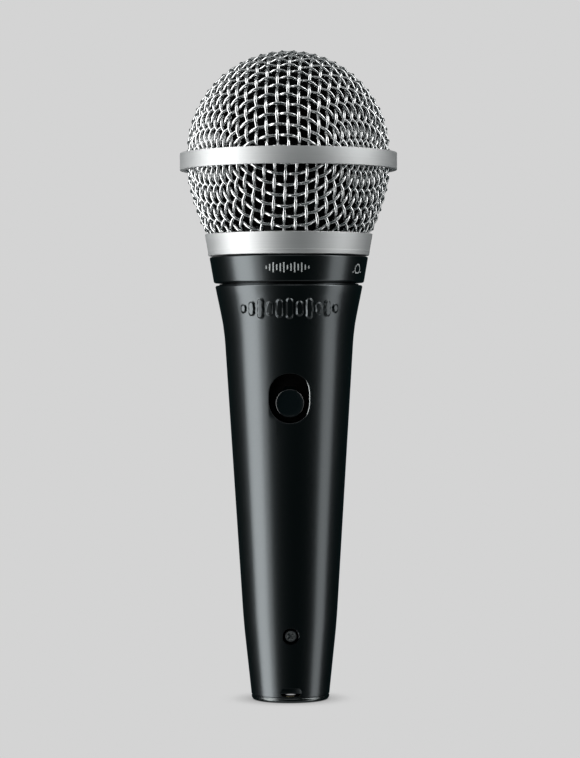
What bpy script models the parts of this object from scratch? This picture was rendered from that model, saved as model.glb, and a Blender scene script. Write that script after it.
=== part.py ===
"""Handheld dynamic vocal microphone, as an assembly of its separate pieces.

The microphone stands on the rim of its connector end. The origin is the middle of that rim, +Z runs
up the handle to the ball grille, and the on/off button faces -Y. Every length is in metres.
"""

import math

import bmesh
import bpy
from mathutils import Vector

MM = 0.001
GAP = 0.3 * MM  # between two pieces that touch on the real object

# Driving dimensions, as radii and heights over the rim.
BAND_BOTTOM, BAND_TOP = 103.55 * MM, 110.0 * MM
COLLAR_BOTTOM, COLLAR_TOP = 110.3 * MM, 115.65 * MM
EQUATOR_BOTTOM, EQUATOR_TOP = 131.57 * MM, 135.75 * MM
EQUATOR_RADIUS = 27.0 * MM
BALL_RADIUS = 25.35 * MM  # over the wires
BALL_CENTRE = 136.0 * MM  # the dome is a half ball over the equator ring
SCREEN_WALL = 1.15 * MM  # two wires of a plain weave, one bent over the other
SOCKET_RADIUS = 8.25 * MM  # takes a cable connector's round nose
THREAD_BORE = 17.0 * MM  # of the name band and the collar, over the handle's neck
SCREW_HEIGHT = 16.6 * MM  # the screw that holds the connector insert
LATCH_HEIGHT = 2.6 * MM

# The handle's outside, rim to neck, as (radius, height) in millimetres: two cones, a flare, the
# groove under the name band and the neck that carries the grille's thread.
HANDLE_OUTSIDE = [
    (9.20, 0.0), (9.62, 0.55), (11.43, 17.6), (11.72, 21.2), (15.62, 83.6),
    (16.02, 90.0), (16.38, 93.0), (17.00, 96.2), (18.29, 102.5), (17.95, 102.9),
    (17.40, 102.9), (17.30, 103.25), (16.60, 103.25), (16.60, 113.7), (16.10, 114.2),
]
# Its inside, neck to rim: the mount ring's shoulder, the cavity and the connector's socket.
HANDLE_INSIDE = [
    (14.50, 114.2), (14.50, 100.6), (13.85, 100.6), (13.72, 83.6),
    (10.10, 25.4), (8.25, 22.8), (8.25, 0.4), (8.65, 0.0),
]
# The lower screen's outside, foot to equator, as (radius, height) in millimetres.
BASKET_OUTSIDE = [
    (19.90, 113.4), (19.95, 115.3), (21.40, 117.0), (22.47, 119.8), (23.45, 122.5),
    (24.28, 125.2), (24.86, 127.6), (25.25, 129.8), (25.35, 131.9),
]

# The button stands on the handle's long cone; its own frame is tipped to lie along the cone.
BUTTON_HEIGHT = 75.1 * MM
CONE_LOW, CONE_HIGH = HANDLE_OUTSIDE[3], HANDLE_OUTSIDE[4]
TAPER = math.atan2(CONE_HIGH[0] - CONE_LOW[0], CONE_HIGH[1] - CONE_LOW[1])
BUTTON_SURFACE = (CONE_LOW[0] * MM + (BUTTON_HEIGHT - CONE_LOW[1] * MM) * math.tan(TAPER))
WINDOW_HALF_WIDTH, WINDOW_HALF_HEIGHT, WINDOW_CORNER = 5.2 * MM, 6.1 * MM, 5.0 * MM
KNOB_RADIUS = 3.45 * MM
KNOB_TRAVEL = 2.5 * MM
KNOB_REST = -KNOB_TRAVEL / 2  # the off end of the travel, along the cone from the window's middle

PIN_RADIUS, PIN_CIRCLE = 1.19 * MM, 4.0 * MM
PIN_ANGLES = {1: -30.0, 2: 210.0, 3: 90.0}  # degrees from +X, so pins 1 and 2 lie by the latch

OUTER_SIDES = 40  # facets round the pieces that show
INNER_SIDES = 24
SMALL_SIDES = 12


def clear_scene():
    for thing in list(bpy.data.objects):
        bpy.data.objects.remove(thing)


def make_material(name, colour, roughness, metallic=0.0):
    material = bpy.data.materials.new(name)
    material.use_nodes = True
    shader = material.node_tree.nodes["Principled BSDF"]
    shader.inputs["Base Color"].default_value = (*colour, 1.0)
    shader.inputs["Roughness"].default_value = roughness
    shader.inputs["Metallic"].default_value = metallic
    return material


def make_materials():
    return {
        "black_paint": make_material("black_paint", (0.012, 0.015, 0.016), 0.35),
        "satin_silver": make_material("satin_silver", (0.62, 0.63, 0.64), 0.32, 1.0),
        "screen_wire": make_material("screen_wire", (0.68, 0.69, 0.70), 0.28, 1.0),
        "foam": make_material("foam", (0.01, 0.01, 0.01), 0.95),
        "black_plastic": make_material("black_plastic", (0.015, 0.016, 0.017), 0.5),
        "rubber": make_material("rubber", (0.02, 0.02, 0.02), 0.8),
        "steel": make_material("steel", (0.55, 0.55, 0.56), 0.35, 1.0),
        "magnet": make_material("magnet", (0.45, 0.45, 0.47), 0.25, 1.0),
        "copper": make_material("copper", (0.80, 0.42, 0.25), 0.3, 1.0),
        "film": make_material("film", (0.75, 0.72, 0.55), 0.2),
        "felt": make_material("felt", (0.05, 0.05, 0.055), 0.95),
        "board": make_material("board", (0.03, 0.16, 0.07), 0.45),
        "contact": make_material("contact", (0.80, 0.66, 0.36), 0.25, 1.0),
        "wire_red": make_material("wire_red", (0.45, 0.02, 0.02), 0.4),
        "wire_green": make_material("wire_green", (0.02, 0.22, 0.06), 0.4),
        "wire_yellow": make_material("wire_yellow", (0.60, 0.45, 0.03), 0.4),
        "wire_black": make_material("wire_black", (0.02, 0.02, 0.02), 0.4),
    }


def finish_object(name, bm, material, parent=None, smooth_below=35.0):
    """Makes the object of a finished bmesh, with its faces turned outwards and round faces shaded smooth."""
    bmesh.ops.recalc_face_normals(bm, faces=bm.faces)
    mesh = bpy.data.meshes.new(name)
    bm.to_mesh(mesh)
    bm.free()
    mesh.shade_smooth()
    mesh.set_sharp_from_angle(angle=math.radians(smooth_below))
    mesh.materials.append(material)
    thing = bpy.data.objects.new(name, mesh)
    bpy.context.scene.collection.objects.link(thing)
    thing.parent = parent
    return thing


def turned_mesh(outline, sides):
    """A bmesh turned about Z from an outline of (radius, height) points that closes on itself."""
    bm = bmesh.new()
    points = [bm.verts.new((radius, 0.0, height)) for radius, height in outline]
    edges = [bm.edges.new((a, b)) for a, b in zip(points, points[1:] + points[:1])]
    on_axis = [e for e in edges if all(v.co.x < 1e-9 for v in e.verts)]
    bmesh.ops.delete(bm, geom=on_axis, context="EDGES")
    bmesh.ops.spin(bm, geom=bm.verts[:] + bm.edges[:], axis=(0, 0, 1), cent=(0, 0, 0),
                   angle=math.tau, steps=sides, use_merge=True)
    bmesh.ops.remove_doubles(bm, verts=bm.verts, dist=1e-6)
    bmesh.ops.dissolve_degenerate(bm, edges=bm.edges, dist=1e-7)
    return bm


def turned(name, outline, material, sides=OUTER_SIDES, parent=None):
    return finish_object(name, turned_mesh(outline, sides), material, parent)


def millimetres(points):
    return [(a * MM, b * MM) for a, b in points]


def ring(inner, outer, low, high, chamfer=0.0):
    """The square outline of a plain ring, with its outer corners chamfered."""
    return [(inner, low), (outer - chamfer, low), (outer, low + chamfer),
            (outer, high - chamfer), (outer - chamfer, high), (inner, high)]


def disc(radius, low, high, chamfer=0.0):
    return ring(0.0, radius, low, high, chamfer)


def arc(centre, radius, start, end, steps):
    """Points along an arc, from start to end in degrees."""
    angles = [math.radians(start + (end - start) * i / steps) for i in range(steps + 1)]
    return [(centre[0] + radius * math.cos(a), centre[1] + radius * math.sin(a)) for a in angles]


def cylinder(name, radius, length, material, place, turn=(0, 0, 0), sides=SMALL_SIDES, parent=None,
             chamfer=0.0):
    """A cylinder along its own Z from place upwards."""
    outline = disc(radius, 0.0, length, chamfer)
    thing = turned(name, outline, material, sides, parent)
    thing.location = place
    thing.rotation_euler = turn
    return thing


def block(name, low, high, material, parent=None, bevel=0.0):
    """A box between two corners in its parent's frame, with its edges bevelled."""
    bm = bmesh.new()
    bmesh.ops.create_cube(bm, size=1.0)
    size, middle = Vector(high) - Vector(low), (Vector(high) + Vector(low)) / 2
    bmesh.ops.scale(bm, vec=size, verts=bm.verts)
    bmesh.ops.translate(bm, vec=middle, verts=bm.verts)
    if bevel:
        bmesh.ops.bevel(bm, geom=bm.edges[:], offset=bevel, segments=1, affect="EDGES")
    return finish_object(name, bm, material, parent)


def rounded_rectangle(half_width, half_height, corner, steps=6):
    """The outline of a rectangle with round corners, anticlockwise."""
    x, z = half_width - corner, half_height - corner
    corners = [((x, z), 0), ((-x, z), 90), ((-x, -z), 180), ((x, -z), 270)]
    return [p for centre, start in corners for p in arc(centre, corner, start, start + 90, steps)]


def plate(name, outline, near, far, material, parent=None):
    """An outline of (x, z) points extruded along Y from near to far."""
    bm = bmesh.new()
    face = bm.faces.new([bm.verts.new((x, near, z)) for x, z in outline])
    made = bmesh.ops.extrude_face_region(bm, geom=[face])
    moved = [v for v in made["geom"] if isinstance(v, bmesh.types.BMVert)]
    bmesh.ops.translate(bm, vec=(0, far - near, 0), verts=moved)
    return finish_object(name, bm, material, parent)


def as_cutter(thing):
    thing.hide_render = True
    thing.display_type = "WIRE"
    return thing


def combine(target, other, operation):
    """Cuts other from target, or joins it on."""
    modifier = target.modifiers.new(operation.lower(), "BOOLEAN")
    modifier.operation = operation
    modifier.object = as_cutter(other)
    modifier.solver = "EXACT"


def cut(target, *cutters):
    for cutter in cutters:
        combine(target, cutter, "DIFFERENCE")


def join(target, *others):
    for other in others:
        combine(target, other, "UNION")


def smooth_route(points, step):
    """Points a step apart along a Catmull-Rom curve through the route's own points."""
    ends = [Vector(p) * MM for p in points]
    ends = [2 * ends[0] - ends[1], *ends, 2 * ends[-1] - ends[-2]]
    fine = []
    for a, b, c, d in zip(ends, ends[1:], ends[2:], ends[3:]):
        for i in range(12):
            t = i / 12
            fine.append(0.5 * (2 * b + (c - a) * t + (2 * a - 5 * b + 4 * c - d) * t ** 2
                               + (3 * b - a - 3 * c + d) * t ** 3))
    fine.append(ends[-2])
    kept = [fine[0]]
    for point in fine[1:-1]:
        if (point - kept[-1]).length >= step:
            kept.append(point)
    return [*kept, fine[-1]]


def lead(name, points, radius, material):
    """An insulated wire along a route given in millimetres."""
    curve = bpy.data.curves.new(name, "CURVE")
    curve.dimensions = "3D"
    curve.bevel_depth = radius
    curve.bevel_resolution = 2
    curve.use_fill_caps = True
    route = smooth_route(points, step=4.5 * radius)
    spline = curve.splines.new("POLY")
    spline.points.add(len(route) - 1)
    for spot, point in zip(spline.points, route):
        spot.co = (*point, 1.0)
    curve.materials.append(material)
    thing = bpy.data.objects.new(name, curve)
    bpy.context.scene.collection.objects.link(thing)
    return thing


def empty(name, place, turn=(0, 0, 0)):
    thing = bpy.data.objects.new(name, None)
    bpy.context.scene.collection.objects.link(thing)
    thing.location = place
    thing.rotation_euler = turn
    return thing


# ---------------------------------------------------------------- handle


def build_handle(paint, frame):
    """The die-cast handle, with the button's window, the insert screw's hole and the latch slot."""
    shell = turned("handle_shell", millimetres(HANDLE_OUTSIDE + HANDLE_INSIDE), paint)
    window = plate("cut_window", rounded_rectangle(WINDOW_HALF_WIDTH, WINDOW_HALF_HEIGHT,
                                                   WINDOW_CORNER), -3 * MM, 5 * MM, paint, frame)
    screw_hole = cylinder("cut_screw_hole", 2.05 * MM, 8 * MM, paint,
                          (0, -6 * MM, SCREW_HEIGHT), (math.radians(90), 0, 0))
    latch = plate("cut_latch", rounded_rectangle(2.5 * MM, 1.0 * MM, 0.7 * MM, 3),
                  -12 * MM, -6 * MM, paint)
    latch.location.z = LATCH_HEIGHT
    cut(shell, window, screw_hole, latch)


def build_mount_ring(plastic):
    """The ring on the handle's inner shoulder that the shock mount stands on."""
    turned("mount_ring", millimetres([
        (12.5, 100.9), (14.2, 100.9), (14.2, 102.9), (13.9, 103.2), (13.9, 102.3), (12.5, 102.3),
    ]), plastic, INNER_SIDES)


def build_band(paint):
    """The loose ring between the handle and the grille, which the grille clamps as it screws down."""
    outline = [
        (THREAD_BORE, BAND_BOTTOM), (18.45 * MM, BAND_BOTTOM), (18.67 * MM, BAND_BOTTOM + 0.2 * MM),
        (19.70 * MM, BAND_TOP - 0.2 * MM), (19.50 * MM, BAND_TOP), (THREAD_BORE, BAND_TOP),
    ]
    turned("name_band", outline, paint)


# ---------------------------------------------------------------- grille


def dome_outline(radius, wall, centre, skirt_bottom, steps):
    """A hemispherical shell about the axis with a short straight skirt under it."""
    outside = [(radius, skirt_bottom), *arc((0, centre), radius, 0, 90, steps)]
    inside = [*arc((0, centre), radius - wall, 90, 0, steps), (radius - wall, skirt_bottom)]
    return outside + inside


def basket_points(inset):
    """The lower screen's outside moved inwards, square to its own slope."""
    points = [Vector(p) * MM for p in BASKET_OUTSIDE]
    before, after = [points[0], *points[:-1]], [*points[1:], points[-1]]
    moved = []
    for point, low, high in zip(points, before, after):
        along = (high - low).normalized()
        moved.append((point.x - inset * along.y, point.y + inset * along.x))
    return moved


def build_grille(materials):
    split = 134.0 * MM  # where the two screens meet inside the equator ring
    inner = BALL_RADIUS - SCREEN_WALL
    turned("dome_screen", dome_outline(BALL_RADIUS, SCREEN_WALL, BALL_CENTRE, split + 0.2 * MM, 8),
           materials["screen_wire"])

    skirt_top = split - 0.2 * MM
    turned("basket_screen", [
        (inner, skirt_top), *reversed(basket_points(SCREEN_WALL)), *basket_points(0.0),
        (BALL_RADIUS, skirt_top),
    ], materials["screen_wire"])

    turned("equator_ring", [
        (BALL_RADIUS + 0.35 * MM, EQUATOR_BOTTOM), (EQUATOR_RADIUS - 0.3 * MM, EQUATOR_BOTTOM),
        (EQUATOR_RADIUS, EQUATOR_BOTTOM + 0.3 * MM), (EQUATOR_RADIUS, EQUATOR_TOP - 0.3 * MM),
        (EQUATOR_RADIUS - 0.3 * MM, EQUATOR_TOP), (BALL_RADIUS + 0.35 * MM, EQUATOR_TOP),
    ], materials["satin_silver"])

    # The basket's foot stands on a ledge inside the collar.
    ledge = COLLAR_BOTTOM + 2.8 * MM
    turned("grille_collar", [
        (THREAD_BORE, COLLAR_BOTTOM), (19.85 * MM, COLLAR_BOTTOM),
        (20.00 * MM, COLLAR_BOTTOM + 0.15 * MM), (20.12 * MM, COLLAR_BOTTOM + 1.1 * MM),
        (20.85 * MM, COLLAR_TOP - 0.2 * MM), (20.70 * MM, COLLAR_TOP),
        (20.25 * MM, COLLAR_TOP), (20.20 * MM, ledge), (THREAD_BORE, ledge),
    ], materials["satin_silver"])

    near, wall = 0.4 * MM, 2.0 * MM  # the foam's gap to the screen and its thickness
    outside = basket_points(SCREEN_WALL + near)[2:-1]
    inside = basket_points(SCREEN_WALL + near + wall)[2:-1]
    turned("foam_liner", [
        *outside, *arc((0, BALL_CENTRE), inner - near, 0, 90, 6),
        *arc((0, BALL_CENTRE), inner - near - wall, 90, 0, 6), *reversed(inside),
    ], materials["foam"], INNER_SIDES)


# ---------------------------------------------------------------- cartridge


def build_cartridge_shell(materials):
    """The cartridge's housing with its rear entry ports, its front cap, cloth, rear cup and board."""
    housing = turned("cartridge_housing", millimetres([
        (11.6, 94.0), (11.6, 108.4), (13.3, 108.4), (13.3, 127.9), (12.1, 127.9),
        (12.1, 117.4), (10.6, 116.4), (10.6, 94.0),
    ]), materials["black_plastic"], INNER_SIDES)
    ports = 8
    for i in range(ports):
        port = block(f"cut_port_{i}", (8 * MM, -1.5 * MM, 111.6 * MM), (15 * MM, 1.5 * MM, 114.4 * MM),
                     materials["black_plastic"])
        port.rotation_euler.z = math.tau * (i + 0.5) / ports
        cut(housing, port)

    cap = turned("front_cap", millimetres([
        (0.0, 128.2), (13.3, 128.2), (13.3, 129.3), (12.7, 129.9), (0.0, 129.9),
    ]), materials["black_plastic"], INNER_SIDES)
    openings = 6
    holes = [(0.0, 0.0)] + [(6.8 * MM * math.cos(math.tau * i / openings),
                             6.8 * MM * math.sin(math.tau * i / openings)) for i in range(openings)]
    for i, (x, y) in enumerate(holes):
        cut(cap, cylinder(f"cut_cap_hole_{i}", 1.7 * MM, 6 * MM, materials["black_plastic"],
                          (x, y, 126 * MM), sides=12))

    turned("front_cloth", disc(12.4 * MM, 130.2 * MM, 130.8 * MM), materials["felt"], INNER_SIDES)
    turned("rear_cup", millimetres([
        (0.0, 95.0), (10.3, 95.0), (10.3, 106.0), (9.4, 106.0), (9.4, 95.9), (0.0, 95.9),
    ]), materials["black_plastic"], INNER_SIDES)
    turned("terminal_board", disc(10.9 * MM, 92.6 * MM, 93.7 * MM), materials["board"], INNER_SIDES)
    for name, side in (("terminal_lug_left", -1), ("terminal_lug_right", 1)):
        cylinder(name, 0.7 * MM, 3.6 * MM, materials["contact"],
                 (side * 5.0 * MM, 2.0 * MM, 88.7 * MM), chamfer=0.2 * MM, sides=12)


def build_motor(materials):
    """The magnet system with the moving coil and its diaphragm."""
    turned("yoke_cup", millimetres([
        (0.0, 111.2), (10.2, 111.2), (10.2, 120.0), (8.75, 120.0), (8.75, 113.0), (0.0, 113.0),
    ]), materials["steel"], INNER_SIDES)
    turned("magnet", disc(7.0 * MM, 113.3 * MM, 117.6 * MM, 0.3 * MM), materials["magnet"],
           INNER_SIDES)
    turned("pole_plate", disc(7.45 * MM, 117.9 * MM, 120.0 * MM), materials["steel"], INNER_SIDES)
    turned("diaphragm_seat", ring(10.6 * MM, 11.8 * MM, 117.8 * MM, 121.9 * MM),
           materials["black_plastic"], INNER_SIDES)
    turned("voice_coil", ring(7.85 * MM, 8.35 * MM, 117.4 * MM, 122.2 * MM), materials["copper"],
           INNER_SIDES)
    wall = 0.3 * MM
    rim = (122.5 * MM, 11.3 * MM)
    dome = arc((0, 114.6 * MM), 11.2 * MM, 90, 45.8, 3)
    roll = arc((9.85 * MM, rim[0] + 0.1 * MM), 1.1 * MM, 180, 0, 4)
    outside = [*dome, *roll, (rim[1], rim[0] + wall)]
    inside = [(rim[1], rim[0]), (10.65 * MM, rim[0]),
              *arc((9.85 * MM, rim[0] + 0.1 * MM), 0.8 * MM, 0, 180, 4),
              (8.4 * MM, rim[0]), (7.85 * MM, rim[0]),
              *arc((0, 114.6 * MM), 10.9 * MM, 46.5, 90, 3)]
    turned("diaphragm", outside + inside, materials["film"], INNER_SIDES)


def build_shock_mount(rubber):
    """The elastic ring under the cartridge: a foot and a head with a thin fold between them."""
    turned("shock_mount", millimetres([
        (12.6, 102.6), (13.6, 102.6), (13.6, 103.6), (13.2, 104.4), (13.9, 105.4), (13.9, 107.6),
        (13.5, 108.1), (11.9, 108.1), (11.9, 106.9), (13.2, 105.7), (12.5, 104.4), (12.1, 103.6),
    ]), rubber, INNER_SIDES)


# ---------------------------------------------------------------- on/off switch


def build_switch(materials, frame):
    """The button and what lies under it. In this frame +Y runs into the handle and Z up the cone."""
    floor = 2.3 * MM
    flange_near, flange_far = 3.6 * MM, 4.6 * MM
    board_near, board_far = 9.4 * MM, 10.4 * MM
    post_height = 8.2 * MM

    plate_body = plate("switch_plate", rounded_rectangle(5.8 * MM, 10.4 * MM, 1.5 * MM, 3),
                       flange_near, flange_far, materials["black_plastic"], frame)
    boss = plate("join_boss", rounded_rectangle(4.9 * MM, 5.8 * MM, 4.0 * MM), floor,
                 flange_far - 0.2 * MM, materials["black_plastic"], frame)
    posts = [cylinder(f"join_post_{i}", 1.8 * MM, board_near - GAP - flange_near - 0.5 * MM,
                      materials["black_plastic"],
                      (0, board_near - GAP, side * post_height), (math.radians(90), 0, 0),
                      parent=frame) for i, side in enumerate((-1, 1))]
    join(plate_body, boss, *posts)
    slot = plate("cut_slot", rounded_rectangle(1.5 * MM, 2.75 * MM, 0.4 * MM, 2), 0, 6 * MM,
                 materials["black_plastic"], frame)
    cut(plate_body, slot)
    for i, side in enumerate((-1, 1)):
        hole = cylinder(f"cut_post_hole_{i}", 1.2 * MM, 4.5 * MM, materials["black_plastic"],
                        (0, board_near + 0.5 * MM, side * post_height), (math.radians(90), 0, 0),
                        parent=frame, sides=12)
        cut(plate_body, hole)

    # The knob's dished face is turned about its own Z, which is laid along the frame's -Y.
    knob = finish_object("switch_knob", turned_mesh([
        (0.0, 0.0), (KNOB_RADIUS, 0.0), (KNOB_RADIUS, 1.2 * MM), (KNOB_RADIUS - 0.3 * MM, 1.5 * MM),
        (2.7 * MM, 1.5 * MM), (1.5 * MM, 1.3 * MM), (0.0, 1.2 * MM),
    ], INNER_SIDES), materials["black_plastic"], frame)
    knob.location = (0, floor - GAP, KNOB_REST)
    knob.rotation_euler = (math.radians(90), 0, 0)
    stem = block("join_stem", (-1.1 * MM, floor - GAP - 0.5 * MM, KNOB_REST - 1.1 * MM),
                 (1.1 * MM, 6.6 * MM, KNOB_REST + 1.1 * MM), materials["black_plastic"], frame)
    join(knob, stem)

    case = block("switch_case", (-3.6 * MM, 4.95 * MM, -6.0 * MM), (3.6 * MM, board_near - GAP, 6.0 * MM),
                 materials["steel"], frame)
    hollow = block("cut_case", (-3.1 * MM, 4 * MM, -5.5 * MM), (3.1 * MM, board_near - 0.8 * MM, 5.5 * MM),
                   materials["steel"], frame)
    cut(case, hollow)
    slider = block("switch_slider", (-2.7 * MM, 5.4 * MM, KNOB_REST - 2.6 * MM),
                   (2.7 * MM, 8.2 * MM, KNOB_REST + 2.6 * MM), materials["black_plastic"], frame)
    pocket = block("cut_pocket", (-1.4 * MM, 4.8 * MM, KNOB_REST - 1.4 * MM),
                   (1.4 * MM, 6.9 * MM, KNOB_REST + 1.4 * MM), materials["black_plastic"], frame)
    cut(slider, pocket)

    board = plate("switch_board", rounded_rectangle(6.0 * MM, 10.6 * MM, 1.0 * MM, 2), board_near,
                  board_far, materials["board"], frame)
    for i, side in enumerate((-1, 1)):
        cut(board, cylinder(f"cut_board_hole_{i}", 1.3 * MM, 3 * MM, materials["board"],
                            (0, board_far + 1 * MM, side * post_height), (math.radians(90), 0, 0),
                            parent=frame, sides=12))
    for name, side in (("switch_screw_lower", -1), ("switch_screw_upper", 1)):
        shank, head = 0.85 * MM, 1.8 * MM
        screw = finish_object(name, turned_mesh([
            (0.0, 0.0), (head, 0.0), (head, 0.9 * MM), (shank, 0.9 * MM), (shank, 5.0 * MM),
            (0.0, 5.0 * MM)], SMALL_SIDES), materials["steel"], frame)
        screw.location = (0, board_far + 0.9 * MM + GAP, side * post_height)
        screw.rotation_euler = (math.radians(90), 0, 0)


# ---------------------------------------------------------------- connector


def pin_place(number):
    angle = math.radians(PIN_ANGLES[number])
    return PIN_CIRCLE * math.cos(angle), PIN_CIRCLE * math.sin(angle)


def build_connector(materials):
    """The three-pin insert, its pins, the screw that holds it and the shell's ground spring."""
    insert = turned("connector_insert", ring(0.0, SOCKET_RADIUS - GAP, 13.8 * MM, 20.2 * MM),
                    materials["black_plastic"], INNER_SIDES)
    for number in PIN_ANGLES:
        x, y = pin_place(number)
        cut(insert, cylinder(f"cut_pin_hole_{number}", PIN_RADIUS + GAP, 9 * MM,
                             materials["black_plastic"], (x, y, 12.5 * MM)))
        outline = [(0.0, 3.2 * MM), (0.55 * MM, 3.2 * MM), (PIN_RADIUS, 4.1 * MM),
                   (PIN_RADIUS, 24.6 * MM), (0.0, 24.6 * MM)]
        pin = turned(f"connector_pin_{number}", outline, materials["contact"], SMALL_SIDES)
        pin.location = (x, y, 0)
    screw_hole = cylinder("cut_insert_thread", 1.7 * MM, 5.2 * MM, materials["black_plastic"],
                          (0, -4.6 * MM, SCREW_HEIGHT), (math.radians(90), 0, 0))
    cut(insert, screw_hole)

    screw = cylinder("insert_screw", 1.4 * MM, 5.4 * MM, materials["steel"],
                     (0, -5.0 * MM, SCREW_HEIGHT), (math.radians(90), 0, 0), chamfer=0.15 * MM)
    for i, turn in enumerate((45.0, 135.0)):
        slot = block(f"cut_drive_{i}", (-0.9 * MM, -0.22 * MM, 4.6 * MM), (0.9 * MM, 0.22 * MM, 6 * MM),
                     materials["steel"], screw)
        slot.rotation_euler.z = math.radians(turn)
        cut(screw, slot)

    spring = block("ground_spring", (-1.5 * MM, 5.2 * MM, 20.5 * MM), (1.5 * MM, 7.6 * MM, 20.9 * MM),
                   materials["contact"])
    leaf = block("join_leaf", (-1.5 * MM, 7.2 * MM, 20.5 * MM), (1.5 * MM, 7.6 * MM, 24.4 * MM),
                 materials["contact"])
    join(spring, leaf)


def build_leads(materials):
    """The cartridge's two leads to the switch board, and three leads from there to the pins."""
    radius = 0.55 * MM
    lead("lead_cartridge_hot", [(6.6, 2.0, 91.8), (6.6, 2.0, 88.5), (6.3, 0.6, 85.5),
                                (5.0, -1.6, 84.4), (4.2, -3.2, 83.6)], radius, materials["wire_red"])
    lead("lead_cartridge_cold", [(-6.6, 2.0, 91.8), (-6.6, 2.0, 88.5), (-6.3, 0.6, 85.5),
                                 (-5.0, -1.6, 84.4), (-4.2, -3.2, 83.6)], radius,
         materials["wire_green"])
    lower = {
        1: ([(4.4, -2.6, 66.4), (5.4, -0.4, 64.0), (5.6, 1.2, 56.0), (4.6, 0.2, 42.0),
             (3.9, -1.4, 31.0), (3.46, -2.0, 25.0)], "wire_black"),
        2: ([(-4.4, -2.6, 66.4), (-5.4, -0.4, 64.0), (-5.6, 1.2, 56.0), (-4.6, 0.2, 42.0),
             (-3.9, -1.4, 31.0), (-3.46, -2.0, 25.0)], "wire_red"),
        3: ([(0.0, -2.6, 69.4), (0.0, -0.6, 66.6), (0.3, 1.6, 58.0), (0.6, 3.4, 44.0),
             (0.2, 4.0, 32.0), (0.0, 4.0, 25.0)], "wire_yellow"),
    }
    for number, (points, colour) in lower.items():
        lead(f"lead_pin_{number}", points, radius, materials[colour])


def main():
    clear_scene()
    materials = make_materials()
    switch_frame = empty("switch_frame", (0, -BUTTON_SURFACE, BUTTON_HEIGHT), (TAPER, 0, 0))
    build_handle(materials["black_paint"], switch_frame)
    build_mount_ring(materials["black_plastic"])
    build_band(materials["black_paint"])
    build_grille(materials)
    build_cartridge_shell(materials)
    build_motor(materials)
    build_shock_mount(materials["rubber"])
    build_switch(materials, switch_frame)
    build_connector(materials)
    build_leads(materials)


main()
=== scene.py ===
"""Looks of the handheld dynamic vocal microphone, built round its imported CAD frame.

The frame is in metres, with Z up the handle and the button towards -Y. Values times MM are in
metres too. Other sizes, outlines and the points of a piece are in millimetres in the same axes,
and make_piece brings them to metres.
"""

import itertools
import math

import bmesh
import bpy
import numpy as np
from mathutils import Matrix, Vector


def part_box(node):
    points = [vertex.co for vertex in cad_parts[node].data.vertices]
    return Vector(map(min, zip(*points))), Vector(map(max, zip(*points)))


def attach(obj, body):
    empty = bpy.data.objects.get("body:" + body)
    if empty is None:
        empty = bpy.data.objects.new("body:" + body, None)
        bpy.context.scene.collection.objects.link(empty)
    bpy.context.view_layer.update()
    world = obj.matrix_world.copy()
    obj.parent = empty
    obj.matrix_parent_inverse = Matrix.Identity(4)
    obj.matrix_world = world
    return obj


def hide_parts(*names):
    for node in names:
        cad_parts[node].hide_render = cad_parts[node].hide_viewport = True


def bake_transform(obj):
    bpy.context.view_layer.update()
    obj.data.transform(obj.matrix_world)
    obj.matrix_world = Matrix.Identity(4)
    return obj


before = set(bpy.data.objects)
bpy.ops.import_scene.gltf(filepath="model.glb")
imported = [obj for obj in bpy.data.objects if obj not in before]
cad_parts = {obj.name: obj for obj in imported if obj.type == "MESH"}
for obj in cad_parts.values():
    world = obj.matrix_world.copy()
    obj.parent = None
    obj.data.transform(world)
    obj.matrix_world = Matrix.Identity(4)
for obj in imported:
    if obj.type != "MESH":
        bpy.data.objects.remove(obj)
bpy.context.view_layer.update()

MM = 0.001

# Heights and radii that the frame's nodes state.
RING_LOW, RING_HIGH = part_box("equator_ring")
COLLAR_LOW, COLLAR_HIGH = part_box("grille_collar")
BAND_LOW, BAND_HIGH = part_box("name_band")
BALL_CENTRE = 136.0 * MM
BALL_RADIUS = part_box("dome_screen")[1].z - BALL_CENTRE

# The CAD's outlines as (radius, height) in millimetres: the handle's from its rim to its shoulder,
# with one long cone in it, and the basket's from its foot to the equator.
CONE_FOOT, CONE_TOP = (11.72, 21.2), (15.62, 83.6)
HANDLE_OUTSIDE = [
    (9.20, 0.0), (9.62, 0.55), (11.43, 17.6), CONE_FOOT, CONE_TOP,
    (16.02, 90.0), (16.38, 93.0), (17.00, 96.2), (18.29, 102.5), (17.95, 102.9),
]
BASKET_OUTSIDE = [
    (19.90, 113.4), (19.95, 115.3), (21.40, 117.0), (22.47, 119.8), (23.45, 122.5),
    (24.28, 125.2), (24.86, 127.6), (25.25, 129.8), (25.35, 131.9), (25.35, 134.0),
]
HANDLE_TOP, NECK_TOP = 102.9, 114.2
NECK_RADIUS, THREAD_BORE, THREAD_PITCH = 16.6, 17.0, 1.25
SCREW_HEIGHT, LATCH_HEIGHT = 16.6, 2.6

# The button's own frame lies along the handle's long cone, with +Y into the handle.
BUTTON_HEIGHT = 75.1
TAPER = math.atan2(CONE_TOP[0] - CONE_FOOT[0], CONE_TOP[1] - CONE_FOOT[1])
BUTTON_SURFACE = CONE_FOOT[0] + (BUTTON_HEIGHT - CONE_FOOT[1]) * math.tan(TAPER)
BUTTON_FRAME = (Matrix.Translation((0, -BUTTON_SURFACE * MM, BUTTON_HEIGHT * MM))
                @ Matrix.Rotation(TAPER, 4, "X"))
WINDOW = (5.12, 6.1, 5.0)  # half width, half height and corner radius
KNOB_RADIUS, KNOB_TOP, KNOB_REST = 3.45, 1.25, -1.25
KNOB_FOOT = 2.0  # how deep the knob's foot lies under the handle's surface

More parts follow.
